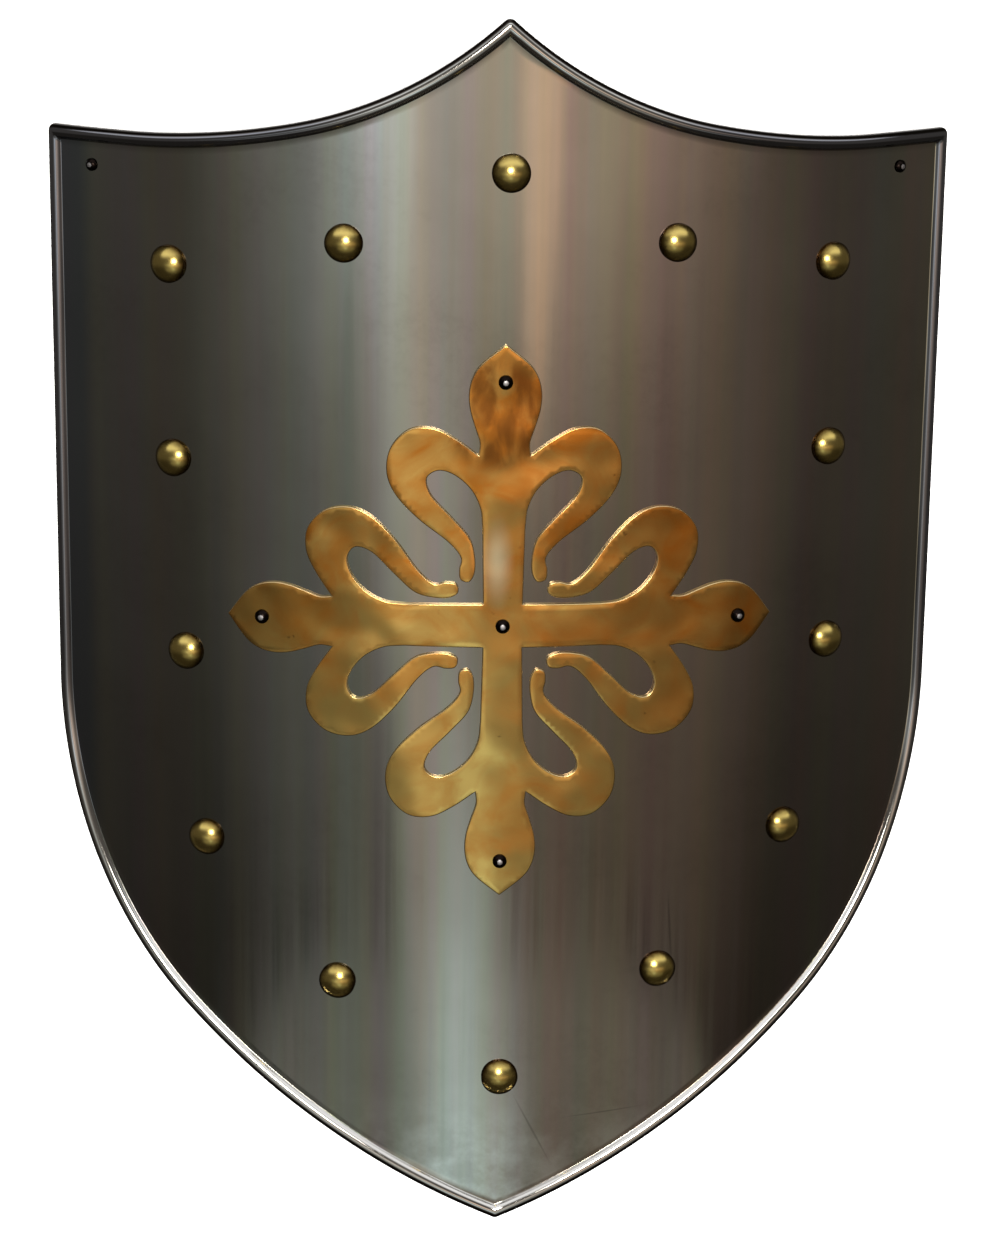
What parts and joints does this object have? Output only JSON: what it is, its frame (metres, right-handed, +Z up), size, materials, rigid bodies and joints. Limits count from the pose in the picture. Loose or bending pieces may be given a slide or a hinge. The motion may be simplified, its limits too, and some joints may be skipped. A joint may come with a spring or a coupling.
{
  "type": "steel heater shield with a brass cross",
  "caption": "Curved heater shield of polished steel with a rolled rim, a riveted brass cross with curled hooks and domed brass nails, lying face up on its straight sides.",
  "frame": {"origin": "middle of the shield's width and length, on the plane that its two straight sides rest on", "axes": "+Y from the point to the peak, +Z up out of the face, +X to the right of the face"},
  "size_m": [0.4506, 0.6259, 0.0801],
  "materials": {
    "polished_steel": "polished and darkened with age, soft streaks along its length, brighter rolled rim",
    "rolled_brass": "half polished sheet brass with brown tarnish and bright cut edges",
    "aged_nail_brass": "polished dome with a dark brown ring of tarnish round its edge",
    "blackened_rivet": "blackened and glossy"
  },
  "bodies": {
    "root": {"shield_plate": "polished_steel", "brass_cross": "rolled_brass", "nail_top_middle": "aged_nail_brass", "nail_top_left": "aged_nail_brass", "nail_top_right": "aged_nail_brass", "nail_corner_left": "aged_nail_brass", "nail_corner_right": "aged_nail_brass", "nail_upper_left": "aged_nail_brass", "nail_upper_right": "aged_nail_brass", "nail_side_left": "aged_nail_brass", "nail_side_right": "aged_nail_brass", "nail_lower_left": "aged_nail_brass", "nail_lower_right": "aged_nail_brass", "nail_flank_left": "aged_nail_brass", "nail_flank_right": "aged_nail_brass", "nail_bottom_middle": "aged_nail_brass", "cross_rivet_middle": "blackened_rivet", "cross_rivet_top": "blackened_rivet", "cross_rivet_bottom": "blackened_rivet", "cross_rivet_left": "blackened_rivet", "cross_rivet_right": "blackened_rivet", "corner_rivet_left": "blackened_rivet", "corner_rivet_right": "blackened_rivet"}
  },
  "joints": []
}
